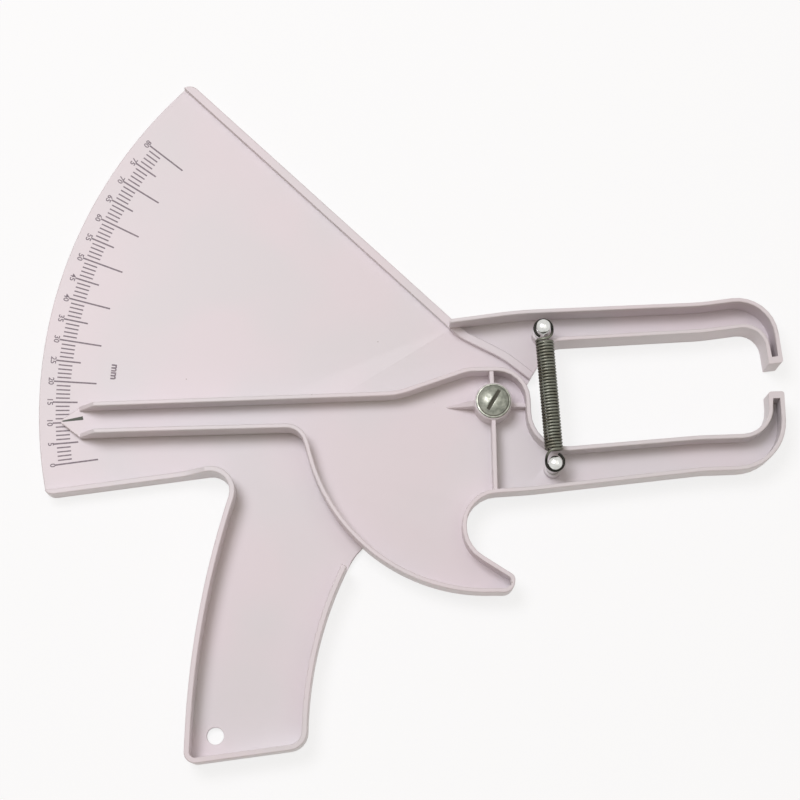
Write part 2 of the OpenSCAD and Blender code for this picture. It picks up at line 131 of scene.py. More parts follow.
def length(name, description, size_mm):
    return bpy.props.FloatProperty(name=name, description=description, default=size_mm * MM,
                                   unit="LENGTH", precision=5)


def angle(name, description, degrees):
    return bpy.props.FloatProperty(name=name, description=description,
                                   default=math.radians(degrees), unit="ROTATION")


def colour(name, description, hex_colour):
    return bpy.props.FloatVectorProperty(name=name, description=description, size=4,
                                         subtype="COLOR", default=linear(hex_colour),
                                         min=0, max=1)


class MouldingSettings(bpy.types.PropertyGroup):
    edge_radius: length("Edge Radius", "Radius on the edges of both mouldings", 0.35)
    plastic: colour("Plastic", "Colour of the white plastic", "#DCD4D7")
    plastic_grey: colour("Plastic, Greyer", "Colour where the plastic is greyer", "#D8D4D6")
    speck: colour("Speck", "Colour of the specks in the plastic", "#8C7F78")


class ScaleSettings(bpy.types.PropertyGroup):
    full_scale: bpy.props.IntProperty(name="Full Scale", default=80,
                                      description="Last reading on the scale, in millimetres")
    jaw_reach: length("Jaw Reach", "Distance from the pivot to where the jaws meet", 103)
    tick_reach: length("Tick Reach", "Distance from the pivot to the long ticks' ends", 161.8)
    one_reach: length("Ones Reach", "Distance from the pivot to the short ticks' ends", 160.7)
    ten_tick: length("Tens Tick", "Length of the ticks at the tens", 15.7)
    five_tick: length("Fives Tick", "Length of the ticks at the fives", 9.1)
    one_tick: length("Ones Tick", "Length of the other ticks", 5.1)
    tick_width: length("Tick Width", "Width of a tick", 0.5)
    label_reach: length("Label Reach", "Distance from the pivot to the numbers' middle", 162.8)
    label_height: length("Label Height", "Height of the numbers", 2.1)
    unit_reach: length("Unit Reach", "Distance from the pivot to the unit's middle", 140.2)
    unit_height: length("Unit Height", "Height of the unit's letters", 2.0)
    ink_depth: length("Ink Depth", "Height of the printed ink over the plastic", 0.03)
    ink: colour("Ink", "Colour of the printed scale", "#72686F")
    index: colour("Index", "Colour of the line on the pointer", "#3C4034")


class FittingSettings(bpy.types.PropertyGroup):
    slot_angle: angle("Slot Angle", "Direction of the slot in the screw's head", 52)
    slot_width: length("Slot Width", "Width of the slot", 1.5)
    slot_depth: length("Slot Depth", "Depth of the slot at the head's middle", 1.0)
    wire: length("Wire", "Diameter of the spring's wire", 1.0)
    plating: colour("Plating", "Colour of the plated screw and washers", "#97988C")
    spring_steel: colour("Spring Steel", "Colour of the spring's wire", "#76776C")
    bright_steel: colour("Bright Steel", "Colour of the polished posts", "#D9D9D6")


class StageSettings(bpy.types.PropertyGroup):
    key_watts: bpy.props.FloatProperty(name="Key", default=10.0, unit="POWER",
                                       description="Power of the lamp at the upper left")
    front_watts: bpy.props.FloatProperty(name="Front", default=2.0, unit="POWER",
                                         description="Power of the lamp behind the camera")
    room_level: bpy.props.FloatProperty(name="Room", default=0.33,
                                        description="Level of the light from all round")
    floor: colour("Floor", "Colour of the floor", "#F4F4F4")


def settings(name):
    return getattr(bpy.context.scene, name)


# ---- materials ----------------------------------------------------------------------------

def moulded_polystyrene(tree, place):
    """Satin white polystyrene, injection-moulded: an even colour that drifts a little between
    pink and grey over centimetres, a few specks, the fine grain of the mould, and a slow ripple
    that unsettles its highlights."""
    chosen = settings("caliper_moulding")
    drift = add(tree, "ShaderNodeTexNoise", {"Vector": place, "Scale": per(38), "Detail": 1.0})
    greyer = add(tree, "ShaderNodeMapRange",
                 {"Value": drift.outputs["Fac"], "From Min": 0.4, "From Max": 0.62})
    base = add(tree, "ShaderNodeMix", {SHARE: greyer.outputs[0], FIRST: chosen.plastic,
                                       SECOND: chosen.plastic_grey}, data_type="RGBA")
    # A speck lies in about half of the 9 mm cells, and fades out from 0.16 to 0.25 mm from its
    # middle.
    cells = add(tree, "ShaderNodeTexVoronoi", {"Vector": place, "Scale": per(9)})
    near = add(tree, "ShaderNodeMapRange",
               {"Value": cells.outputs["Distance"], "From Min": 0.028, "From Max": 0.018})
    chance = add(tree, "ShaderNodeSeparateColor", {0: cells.outputs["Color"]})
    picked = add(tree, "ShaderNodeMapRange",
                 {"Value": chance.outputs["Red"], "From Min": 0.5, "From Max": 0.52})
    speck = add(tree, "ShaderNodeMath", {0: near.outputs[0], 1: picked.outputs[0]},
                operation="MULTIPLY")
    shown = add(tree, "ShaderNodeMath", {0: speck.outputs[0], 1: 0.7}, operation="MULTIPLY")
    specked = add(tree, "ShaderNodeMix", {SHARE: shown.outputs[0], FIRST: base.outputs[MIXED],
                                          SECOND: chosen.speck}, data_type="RGBA")
    grain = add(tree, "ShaderNodeTexNoise", {"Vector": place, "Scale": per(0.5), "Detail": 2.0})
    satin = add(tree, "ShaderNodeMapRange", {"Value": grain.outputs["Fac"], **SPREAD,
                                             "To Min": 0.36, "To Max": 0.46})
    ripple = add(tree, "ShaderNodeTexNoise", {"Vector": place, "Scale": per(14), "Detail": 1.0})
    flow = add(tree, "ShaderNodeBump", {"Strength": 0.25, "Distance": 0.15 * MM,
                                        "Height": ripple.outputs["Fac"]})
    relief = add(tree, "ShaderNodeBump", {"Strength": 0.35, "Distance": 0.012 * MM,
                                          "Height": grain.outputs["Fac"],
                                          "Normal": flow.outputs[0]})
    return add(tree, "ShaderNodeBsdfPrincipled",
               {"Base Color": specked.outputs[MIXED], "Roughness": satin.outputs[0],
                "IOR": 1.49, "Specular IOR Level": 0.4, "Normal": relief.outputs[0]})


def printed_ink(tree, place, ink, worn):
    """Pad-printed ink: matt, with a slightly uneven cover."""
    cover = add(tree, "ShaderNodeTexNoise", {"Vector": place, "Scale": per(0.9), "Detail": 2.0})
    thinner = add(tree, "ShaderNodeMapRange",
                  {"Value": cover.outputs["Fac"], "From Min": 0.45, "From Max": 0.75})
    tone = add(tree, "ShaderNodeMix", {SHARE: thinner.outputs[0], FIRST: ink, SECOND: worn},
               data_type="RGBA")
    matt = add(tree, "ShaderNodeMapRange", {"Value": cover.outputs["Fac"], **SPREAD,
                                            "To Min": 0.5, "To Max": 0.65})
    return add(tree, "ShaderNodeBsdfPrincipled",
               {"Base Color": tone.outputs[MIXED], "Roughness": matt.outputs[0]})


def scale_ink(tree, place):
    """Greyish violet ink, paler where it is thin."""
    return printed_ink(tree, place, settings("caliper_scale").ink, linear("#93888E"))


def index_ink(tree, place):
    """Near-black ink, paler where it is thin."""
    return printed_ink(tree, place, settings("caliper_scale").index, linear("#50544A"))


def in_slot(tree, place, chosen):
    """1 down the middle of the screw's slot and 0 outside it: where the slot's painted shade goes.
    It falls off across the slot over the last fifth of its half width, and along it from 4.0 to 4.8
    mm from the middle."""
    level = add(tree, "ShaderNodeMapping", {"Vector": place,
                                            "Rotation": (0, 0, -chosen.slot_angle)})
    along, across, _ = add(tree, "ShaderNodeSeparateXYZ", {0: level.outputs[0]}).outputs
    half = chosen.slot_width / 2
    inside = []
    for way, edge, full in ((across, half, 0.8 * half), (along, 4.8 * MM, 4.0 * MM)):
        far = add(tree, "ShaderNodeMath", {0: way}, operation="ABSOLUTE")
        inside.append(add(tree, "ShaderNodeMapRange",
                          {"Value": far.outputs[0], "From Min": edge, "From Max": full}))
    return add(tree, "ShaderNodeMath", {0: inside[0].outputs[0], 1: inside[1].outputs[0]},
               operation="MULTIPLY").outputs[0]


def zinc_plate(tree, place, slotted=False):
    """Zinc-plated steel, barrel-finished: grey, softly mottled, with a fine grain. A slotted head
    has painted shade down its slot, which is drawn near black."""
    chosen = settings("caliper_fittings")
    mottle = add(tree, "ShaderNodeTexNoise", {"Vector": place, "Scale": per(1.6), "Detail": 3.0})
    duller = add(tree, "ShaderNodeMapRange",
                 {"Value": mottle.outputs["Fac"], "From Min": 0.35, "From Max": 0.7})
    tone = add(tree, "ShaderNodeMix", {SHARE: duller.outputs[0], FIRST: chosen.plating,
                                       SECOND: linear("#72746A")}, data_type="RGBA")
    if slotted:
        # Painted shade: the slot is drawn near black, as shade down its depth.
        tone = add(tree, "ShaderNodeMix",
                   {SHARE: in_slot(tree, place, chosen), FIRST: tone.outputs[MIXED],
                    SECOND: linear("#34332C")}, data_type="RGBA")
    polish = add(tree, "ShaderNodeMapRange", {"Value": mottle.outputs["Fac"], **SPREAD,
                                              "To Min": 0.3, "To Max": 0.45})
    fine = add(tree, "ShaderNodeTexNoise", {"Vector": place, "Scale": per(0.25), "Detail": 2.0})
    grain = add(tree, "ShaderNodeBump", {"Strength": 0.3, "Distance": 0.01 * MM,
                                         "Height": fine.outputs["Fac"]})
    return add(tree, "ShaderNodeBsdfPrincipled",
               {"Base Color": tone.outputs[MIXED], "Metallic": 1.0,
                "Roughness": polish.outputs[0], "Normal": grain.outputs[0]})


def slotted_zinc_plate(tree, place):
    """The screw's zinc plate, with painted shade down its slot."""
    return zinc_plate(tree, place, slotted=True)


def spring_wire(tree, place):
    """Cold-drawn spring wire, oiled: dark grey, with fine lines along the wire from the die, and
    painted shade on its end loops, which are drawn near black. The lines are drawn 0.12 mm apart,
    coarser than real ones, so that they show."""
    along = add(tree, "ShaderNodeUVMap", uv_map="wire")
    stretch = add(tree, "ShaderNodeMapping", {"Vector": along.outputs[0],
                                              "Scale": (per(6), per(0.12), 1.0)})
    lines = add(tree, "ShaderNodeTexNoise", {"Vector": stretch.outputs[0], "Scale": 1.0,
                                             "Detail": 2.0})
    oil = add(tree, "ShaderNodeTexNoise", {"Vector": place, "Scale": per(5), "Detail": 2.0})
    browner = add(tree, "ShaderNodeMapRange",
                  {"Value": oil.outputs["Fac"], "From Min": 0.4, "From Max": 0.7})
    oiled = add(tree, "ShaderNodeMix", {SHARE: browner.outputs[0],
                                        FIRST: settings("caliper_fittings").spring_steel,
                                        SECOND: linear("#625F53")}, data_type="RGBA")
    # Painted shade: the end loops are drawn near black, as shade under the posts' heads.
    painted_loop_shade = add(tree, "ShaderNodeAttribute", attribute_name="painted_loop_shade")
    tone = add(tree, "ShaderNodeMix",
               {SHARE: painted_loop_shade.outputs["Fac"], FIRST: oiled.outputs[MIXED],
                SECOND: linear("#2A2A26")}, data_type="RGBA")
    polish = add(tree, "ShaderNodeMapRange", {"Value": lines.outputs["Fac"], **SPREAD,
                                              "To Min": 0.32, "To Max": 0.5})
    drawn = add(tree, "ShaderNodeBump", {"Strength": 0.2, "Distance": 0.01 * MM,
                                         "Height": lines.outputs["Fac"]})
    return add(tree, "ShaderNodeBsdfPrincipled",
               {"Base Color": tone.outputs[MIXED], "Metallic": 1.0,
                "Roughness": polish.outputs[0], "Normal": drawn.outputs[0]})


def polished_steel(tree, place):
    """Turned and polished steel: bright, with faint smears about 2 mm across."""
    smear = add(tree, "ShaderNodeTexNoise", {"Vector": place, "Scale": per(2), "Detail": 2.0})
    duller = add(tree, "ShaderNodeMapRange",
                 {"Value": smear.outputs["Fac"], "From Min": 0.35, "From Max": 0.7})
    tone = add(tree, "ShaderNodeMix", {SHARE: duller.outputs[0],
                                       FIRST: settings("caliper_fittings").bright_steel,
                                       SECOND: linear("#C4C4BF")}, data_type="RGBA")
    polish = add(tree, "ShaderNodeMapRange", {"Value": smear.outputs["Fac"], **SPREAD,
                                              "To Min": 0.16, "To Max": 0.26})
    return add(tree, "ShaderNodeBsdfPrincipled",
               {"Base Color": tone.outputs[MIXED], "Metallic": 1.0,
                "Roughness": polish.outputs[0]})


def turned_brass(tree, place):
    """Free-turning brass: yellow, with soft rings from the lathe, which are drawn 1.3 mm
    apart, coarser than real ones."""
    # The wave's bands are 2 pi / 20 apart at a scale of 1, and so 2 pi times 0.2 mm apart here.
    rings = add(tree, "ShaderNodeTexWave", {"Vector": place, "Scale": per(0.2) / 20},
                wave_type="BANDS", bands_direction="Z")
    tone = add(tree, "ShaderNodeMix",
               {SHARE: rings.outputs["Fac"], FIRST: linear("#C9A55A"),
                SECOND: linear("#B8934A")}, data_type="RGBA")
    polish = add(tree, "ShaderNodeMapRange",
                 {"Value": rings.outputs["Fac"], "To Min": 0.28, "To Max": 0.36})
    return add(tree, "ShaderNodeBsdfPrincipled",
               {"Base Color": tone.outputs[MIXED], "Metallic": 1.0,
                "Roughness": polish.outputs[0]})


def natural_nylon(tree, place):
    """Punched natural nylon sheet: milky, waxy and matt."""
    milk = add(tree, "ShaderNodeTexNoise", {"Vector": place, "Scale": per(3), "Detail": 2.0})
    tone = add(tree, "ShaderNodeMix",
               {SHARE: milk.outputs["Fac"], FIRST: linear("#E9E4D6"),
                SECOND: linear("#DED8C8")}, data_type="RGBA")
    wax = add(tree, "ShaderNodeMapRange", {"Value": milk.outputs["Fac"], **SPREAD,
                                           "To Min": 0.42, "To Max": 0.52})
    return add(tree, "ShaderNodeBsdfPrincipled",
               {"Base Color": tone.outputs[MIXED], "Roughness": wax.outputs[0], "IOR": 1.53})


MATERIALS = {
    "white_polystyrene": moulded_polystyrene, "scale_ink": scale_ink, "index_ink": index_ink,
    "zinc_plate": zinc_plate, "slotted_zinc_plate": slotted_zinc_plate,
    "spring_wire": spring_wire, "polished_steel": polished_steel,
    "turned_brass": turned_brass, "natural_nylon": natural_nylon,
}


def finish_with(piece, name):
    """Gives a piece one of the materials, which is made the first time that it is used."""
    material = bpy.data.materials.get(name) or new_material(name, MATERIALS[name])
    piece.data.materials.clear()
    piece.data.materials.append(material)


# ---- meshes -------------------------------------------------------------------------------

def in_scene(name, data):
    """A new object at the origin of the scene, for a mesh, a lamp or the camera."""
    made = bpy.data.objects.new(name, data)
    bpy.context.scene.collection.objects.link(made)
    return made


def as_piece(name, mesh, body, material, replaced=()):
    """Puts a finished mesh in the scene on its body, with its material, and hides the parts that it
    replaces.
    """
    piece = in_scene(name, mesh)
    finish_with(piece, material)
    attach(piece, body)
    if replaced:
        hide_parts(*replaced)
    return piece


def tidy(mesh, weld=1e-7):
    """Welds the doubles of a closed mesh and turns its faces outwards."""
    work = bmesh.new()
    work.from_mesh(mesh)
    bmesh.ops.remove_doubles(work, verts=work.verts, dist=weld)
    bmesh.ops.dissolve_degenerate(work, edges=work.edges, dist=weld)
    bmesh.ops.recalc_face_normals(work, faces=work.faces)
    work.to_mesh(mesh)
    work.free()


CREASE = math.radians(30)               # an edge whose faces meet at less is a smooth one


def smooth(mesh, crease=CREASE):
    """Smooth shading, with edges sharper than the crease angle left sharp."""
    mesh.shade_smooth()
    mesh.set_sharp_from_angle(angle=crease)


def grid_mesh(name, points, wraps):
    """A mesh on a grid of points[i, j]: one quad between each four neighbours, and on round
    to the first row or column where it wraps."""
    rows, columns = points.shape[:2]
    index = np.arange(rows * columns).reshape(rows, columns)
    if wraps[0]:
        index = np.concatenate([index, index[:1]])
    if wraps[1]:
        index = np.concatenate([index, index[:, :1]], axis=1)
    quads = np.stack([index[:-1, :-1], index[1:, :-1], index[1:, 1:], index[:-1, 1:]], axis=-1)
    mesh = bpy.data.meshes.new(name)
    mesh.from_pydata(points.reshape(-1, 3).tolist(), [], quads.reshape(-1, 4).tolist())
    return mesh


def rounded(corners, steps=4):
    """Points of a path of corners (x, y, radius), each corner an arc that touches both sides:
    it starts and ends radius / tan(half the inner angle) from the corner. A corner that has no
    radius or is nearly straight stays one point."""
    straight = 1.55                      # half of an inner angle, in radians
    corners = [np.array(c, float) for c in corners]
    found = [corners[0][:2]]
    for back, here, on in zip(corners, corners[1:], corners[2:]):
        to_back, to_on = back[:2] - here[:2], on[:2] - here[:2]
        to_back, to_on = to_back / np.linalg.norm(to_back), to_on / np.linalg.norm(to_on)
        half = math.acos(np.clip(to_back @ to_on, -1, 1)) / 2
        radius = here[2]
        if radius <= 0 or half > straight:
            found.append(here[:2])
            continue
        middle = (to_back + to_on) / np.linalg.norm(to_back + to_on)
        centre = here[:2] + middle * radius / math.sin(half)
        share = np.linspace(0, 1, steps + 1)[:, None]
        start = here[:2] + to_back * radius / math.tan(half) - centre
        end = here[:2] + to_on * radius / math.tan(half) - centre
        sweep = math.pi - 2 * half
        arc = (start * np.sin((1 - share) * sweep) + end * np.sin(share * sweep)) / math.sin(sweep)
        found.extend(centre + arc)
    found.append(corners[-1][:2])
    return np.array(found)


def turned(name, profile, centre, sides, closed=False):
    """A turned piece: the profile's points (radius, height) carried round the vertical line
    through centre. A closed profile makes a ring, and an open one starts and ends on the axis."""
    round_by = np.linspace(0, 2 * math.pi, sides, endpoint=False)
    radius, height = profile[:, :1], profile[:, 1:]
    points = np.stack([centre[0] + radius * np.cos(round_by),
                       centre[1] + radius * np.sin(round_by),
                       np.broadcast_to(height, (len(profile), sides))], axis=-1)
    mesh = grid_mesh(name, points, (closed, True))
    tidy(mesh)
    smooth(mesh)
    return mesh


def turn_by(angle):
    """The matrix that turns rows of (x, y) anticlockwise by an angle, as rows @ matrix."""
    return np.array([[math.cos(angle), math.sin(angle)],
                     [-math.sin(angle), math.cos(angle)]])


def bars(starts, ends, widths, low, high):
    """Corner points and faces of flat bars: each runs between two points, its widths at the
    two ends given, from height low to height high."""
    run = ends - starts
    side = np.stack([-run[:, 1], run[:, 0]], axis=1)
    side = side / np.linalg.norm(side, axis=1, keepdims=True) / 2
    flat = np.stack([starts - side * widths[:, :1], ends - side * widths[:, 1:],
                     ends + side * widths[:, 1:], starts + side * widths[:, :1]], axis=1)
    heights = np.full(flat.shape[:2] + (1,), low)
    corners = np.concatenate([np.concatenate([flat, heights], axis=2),
                              np.concatenate([flat, heights + high - low], axis=2)], axis=1)
    box = np.array([(3, 2, 1, 0), (4, 5, 6, 7), (0, 1, 5, 4), (1, 2, 6, 5), (2, 3, 7, 6),
                    (3, 0, 4, 7)])
    faces = np.arange(len(flat))[:, None, None] * 8 + box
    return corners.reshape(-1, 3), faces.reshape(-1, 4)


def lettering(body, height, weight):
    """Points and faces of a short piece of type of the given height, 1 m thick, centred on
    the origin and read along +X with its top towards +Y. The weight thickens its strokes."""
    curve = bpy.data.curves.new("type", "FONT")
    curve.body = body
    curve.extrude = 0.5
    curve.offset = weight
    curve.resolution_u = 3
    holder = bpy.data.objects.new("type", curve)
    mesh = bpy.data.meshes.new_from_object(holder)
    points = np.zeros(len(mesh.vertices) * 3)
    mesh.vertices.foreach_get("co", points)
    points = points.reshape(-1, 3)
    faces = [tuple(face.vertices) for face in mesh.polygons]
    low, high = points[:, :2].min(0), points[:, :2].max(0)
    points[:, :2] = (points[:, :2] - (low + high) / 2) * height / (high[1] - low[1])
    bpy.data.objects.remove(holder)
    bpy.data.curves.remove(curve)
    bpy.data.meshes.remove(mesh)
    return points, faces


def joined_mesh(name, parts):
    """One mesh of several (points, faces)."""
    mesh = bpy.data.meshes.new(name)
    starts = np.cumsum([0] + [len(points) for points, _ in parts])
    points = np.concatenate([points for points, _ in parts])
    faces = [(np.array(face) + start).tolist()
             for start, (_, faces) in zip(starts, parts) for face in faces]
    mesh.from_pydata(points.tolist(), [], faces)
    tidy(mesh)
    return mesh


def middle_of(node):
    """Middle of a node's box in plan, its half width and its lowest and highest points."""
    low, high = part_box(node)
    middle = np.array([(low.x + high.x) / 2, (low.y + high.y) / 2])
    return middle, (high.x - low.x) / 2, low.z, high.z


# ---- mouldings ----------------------------------------------------------------------------

def room_on(face):
    """For each edge of a face, the least distance across the face from three points on the
    edge to the edges that don't touch it."""
    start = np.array([loop.vert.co for loop in face.loops])
    run = np.roll(start, -1, axis=0) - start
    count = len(start)
    apart = (np.arange(count)[None] - np.arange(count)[:, None]) % count
    touching = (apart <= 1) | (apart == count - 1)
    room = np.full(count, np.inf)
    for share in (0.2, 0.5, 0.8):
        away = (start + share * run)[:, None] - start[None]
        along = np.clip(np.sum(away * run, axis=2) / np.sum(run * run, axis=1), 0, 1)
        distance = np.linalg.norm(away - along[..., None] * run, axis=2)
        room = np.minimum(room, np.where(touching, np.inf, distance).min(axis=1))
    return room


def inner_corners(work):
    """The points where an inner edge ends, such as the foot of a wall."""
    return {vert for edge in work.edges
            if edge.is_manifold and edge.calc_face_angle_signed() < -CREASE
            for vert in edge.verts}


def give_softness(work, radius):
    """Gives each outer edge its share of the bevel's width. Two roundings never use up what
    is between them: the share is the least room beside the edge, or the shortest edge at
    either end, over 2.2 radii, up to 1. Inner corners and flat seams get none, and neither
    does an outer edge shorter than 10 radii that runs into an inner corner."""
    enough, short = 2.2 * radius, 10 * radius
    share = work.edges.layers.float.new("bevel_weight_edge")
    inner = inner_corners(work)
    room = {}
    for face in work.faces:
        for loop, least in zip(face.loops, room_on(face)):
            room[loop.edge] = min(room.get(loop.edge, np.inf), least)
    for edge in work.edges:
        stopped = edge.calc_length() < short and inner.intersection(edge.verts)
        if edge.is_manifold and edge.calc_face_angle_signed() > CREASE and not stopped:
            shortest = min(e.calc_length() for vert in edge.verts for e in vert.link_edges)
            edge[share] = min(shortest / enough, room[edge] / enough, 1)


def softened_copy(node, name, body, radius):
    """A copy of a moulding with its doubles merged, its flat faces joined, points nearer than
    half a radius welded, except at inner corners, and its outer edges rounded."""
    doubles, flat = 0.002 * MM, math.radians(0.3)
    mesh = frame["nodes"][node].data.copy()
    mesh.name = name
    work = bmesh.new()
    work.from_mesh(mesh)
    bmesh.ops.remove_doubles(work, verts=work.verts, dist=doubles)
    bmesh.ops.dissolve_limit(work, angle_limit=flat, verts=work.verts, edges=work.edges)
    inner = inner_corners(work)
    bmesh.ops.remove_doubles(work, verts=[vert for vert in work.verts if vert not in inner],
                             dist=radius / 2)
    give_softness(work, radius)
    work.to_mesh(mesh)
    work.free()
    piece = as_piece(name, mesh, body, "white_polystyrene", (node,))
    bevel = piece.modifiers.new("edges", "BEVEL")
    bevel.limit_method = "WEIGHT"
    bevel.width = radius
    bevel.segments = 2
    bevel.use_clamp_overlap = False
    flats = piece.modifiers.new("flats", "WEIGHTED_NORMAL")
    flats.keep_sharp = True
    smooth(mesh)


class CALIPER_OT_mouldings(bpy.types.Operator):
    """Both mouldings, with softened edges"""
    bl_idname = "caliper.mouldings"
    bl_label = "Mouldings"

    def execute(self, context):
        chosen = settings("caliper_moulding")
        for node in ("body", "lever"):
            softened_copy(node, node + "_moulding", node, chosen.edge_radius)
        return {"FINISHED"}


# ---- printed scale ------------------------------------------------------------------------

def scale_direction(reading, jaw_reach):
    """Direction in which the scale shows a reading: an opening d turns the lever by
    2 asin(d / 2 R), and the zero line runs along -X."""
    turn = 2 * np.arcsin(reading * MM / 2 / jaw_reach)
    return np.stack([-np.cos(turn), np.sin(turn)], axis=-1)


def printed(text, height, reading, reach, low, high, weight):
    """Points and faces of type printed beside a reading, its middle at the given reach. It
    reads down the scale, with its top towards the pivot."""
    points, faces = lettering(text, height, weight)
    outward = scale_direction(np.array(reading), settings("caliper_scale").jaw_reach)
    along = np.array([-outward[1], outward[0]])
    plan = outward * reach + points[:, :1] * along - points[:, 1:2] * outward
    return np.concatenate([plan, np.where(points[:, 2:] > 0, high, low)], axis=1), faces


def web_height():
    """Height of the body's web, on which the thrust washer lies."""
    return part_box("thrust_washer")[0].z


class CALIPER_OT_scale(bpy.types.Operator):
    """The printed scale on the sector, its numbers and its unit"""
    bl_idname = "caliper.scale"
    bl_label = "Printed Scale"

    def execute(self, context):
        chosen = settings("caliper_scale")
        number_weight, unit_weight, unit_reading, bolder = 0.02, 0.035, 23.5, 1.15
        low = web_height() - chosen.ink_depth
        high = web_height() + chosen.ink_depth
        reading = np.arange(chosen.full_scale + 1)
        towards = scale_direction(reading, chosen.jaw_reach)
        span = np.where(reading % 10 == 0, chosen.ten_tick,
                        np.where(reading % 5 == 0, chosen.five_tick, chosen.one_tick))
        reach = np.where(reading % 5 == 0, chosen.tick_reach, chosen.one_reach)
        width = np.where(reading % 5 == 0, bolder, 1.0) * chosen.tick_width
        ticks = bars(towards * reach[:, None], towards * (reach - span)[:, None],
                     np.stack([width, width], axis=1), low, high)
        numbers = [printed(str(value), chosen.label_height, value, chosen.label_reach, low, high,
                           number_weight)
                   for value in range(0, chosen.full_scale + 1, 5)]
        unit = printed("mm", chosen.unit_height, unit_reading, chosen.unit_reach, low, high,
                       unit_weight)
        for name, parts in (("scale_ticks", [ticks]), ("scale_numbers", numbers),
                            ("scale_unit", [unit])):
            as_piece(name, joined_mesh(name, parts), "body", "scale_ink")
        return {"FINISHED"}


class CALIPER_OT_index(bpy.types.Operator):
    """The dark line on the pointer that the scale is read against"""
    bl_idname = "caliper.index"
    bl_label = "Index Line"

    def execute(self, context):
        chosen = settings("caliper_scale")
        thrust_washer, lever_floor = 0.5 * MM, 2.0 * MM
        top = web_height() + thrust_washer + lever_floor
        # The line from its outer to its inner end, where it lies with the jaws closed. The
        # joint's springref is that position.
        outer_end, inner_end = np.array([[-157.9, 0.1], [-150.3, 1.0]])[:, None] * MM
        widths = np.array([[0.5, 1.4]]) * MM
        points, faces = bars(outer_end, inner_end, widths, top - chosen.ink_depth,
                             top + chosen.ink_depth)
        points[:, :2] = points[:, :2] @ turn_by(-frame["joints"][0]["springref"])
        as_piece("index_line", joined_mesh("index_line", [(points, faces)]), "lever",
                 "index_ink")
        return {"FINISHED"}


# ---- fittings -----------------------------------------------------------------------------

POST_NECK = 2.1 * MM                     # radius of a post's neck, which the spring's loop hooks


def screw_head(chosen, seat, radius, top):
    """The screw's head on a grid of rows across the slot. A row at distance v from the middle
    runs over x = c sin(a), where c is the chord there, and down round the head's underside.
    Its height is a dome, rounded at the rim, less the slot between the slot's two sides."""
    rim_height, rim, lip = 0.9 * MM, 0.35 * MM, 0.12 * MM
    rows_beside, columns = 26, 49
    dome = top - seat - rim_height
    dome_r = (radius ** 2 + dome ** 2) / 2 / dome
    half = chosen.slot_width / 2
    beside = radius * np.sin(np.linspace(math.asin((half + lip) / radius), math.pi / 2,
                                         rows_beside))
    # The rows from the slot's middle to past its edge, and how much of its depth each has.
    slot_rows = half * np.array([0, 0.6, 1.0, 1.0, 1.0 + 0.3 * lip / half])
    cut = np.array([1, 1, 1, 0.12, 0.03])
    v = np.concatenate([-beside[::-1], -slot_rows[::-1], slot_rows[1:], beside])
    cut = np.concatenate([np.zeros(rows_beside), cut[::-1], cut[1:], np.zeros(rows_beside)])
    chord = np.sqrt(np.maximum(radius ** 2 - v ** 2, 0))
    x = chord[:, None] * np.sin(np.linspace(-math.pi / 2, math.pi / 2, columns))
    from_axis = np.sqrt(x ** 2 + v[:, None] ** 2)
    height = top - dome_r + np.sqrt(dome_r ** 2 - np.minimum(from_axis, radius) ** 2)
    inset = np.clip((from_axis - (radius - rim)) / rim, 0, 1)
    height = height - rim * (1 - np.sqrt(1 - inset ** 2))
    height = height - cut[:, None] * np.maximum(height - (top - chosen.slot_depth), 0)
    top_side = np.stack([x, np.broadcast_to(v[:, None], x.shape), height], axis=-1)
    underside = np.stack([np.stack([chord * share, v, np.full(len(v), seat)], axis=-1)
                          for share in (1, 0.5, -0.5, -1)], axis=1)
    points = np.concatenate([top_side, underside], axis=1)
    return np.concatenate([points[..., :2] @ turn_by(chosen.slot_angle), points[..., 2:]],
                          axis=-1)


def thread_profile(radius, low, high, pitch, depth):
    """Profile of a threaded shank drawn as V grooves: the radius falls by depth and comes
    back over each pitch."""
    turns = int((high - low - pitch) / pitch)
    heights = low + pitch * (0.5 + np.arange(2 * turns + 1) / 2)
    radii = np.where(np.arange(2 * turns + 1) % 2 == 0, radius, radius - depth)
    ends = np.array([[0, low], [radius - depth, low]])
    return np.concatenate([ends, np.stack([radii, heights], axis=1),
                           [[radius, high], [0, high]]])


def rounded_ring(inner, outer, low, high, edge):
    """Closed profile of a flat ring with rounded edges."""
    middle = (low + high) / 2
    path = rounded([(inner, middle, 0), (inner, low, edge), (outer, low, edge),
                    (outer, high, edge), (inner, high, edge), (inner, middle, 0)])
    return path[:-1]


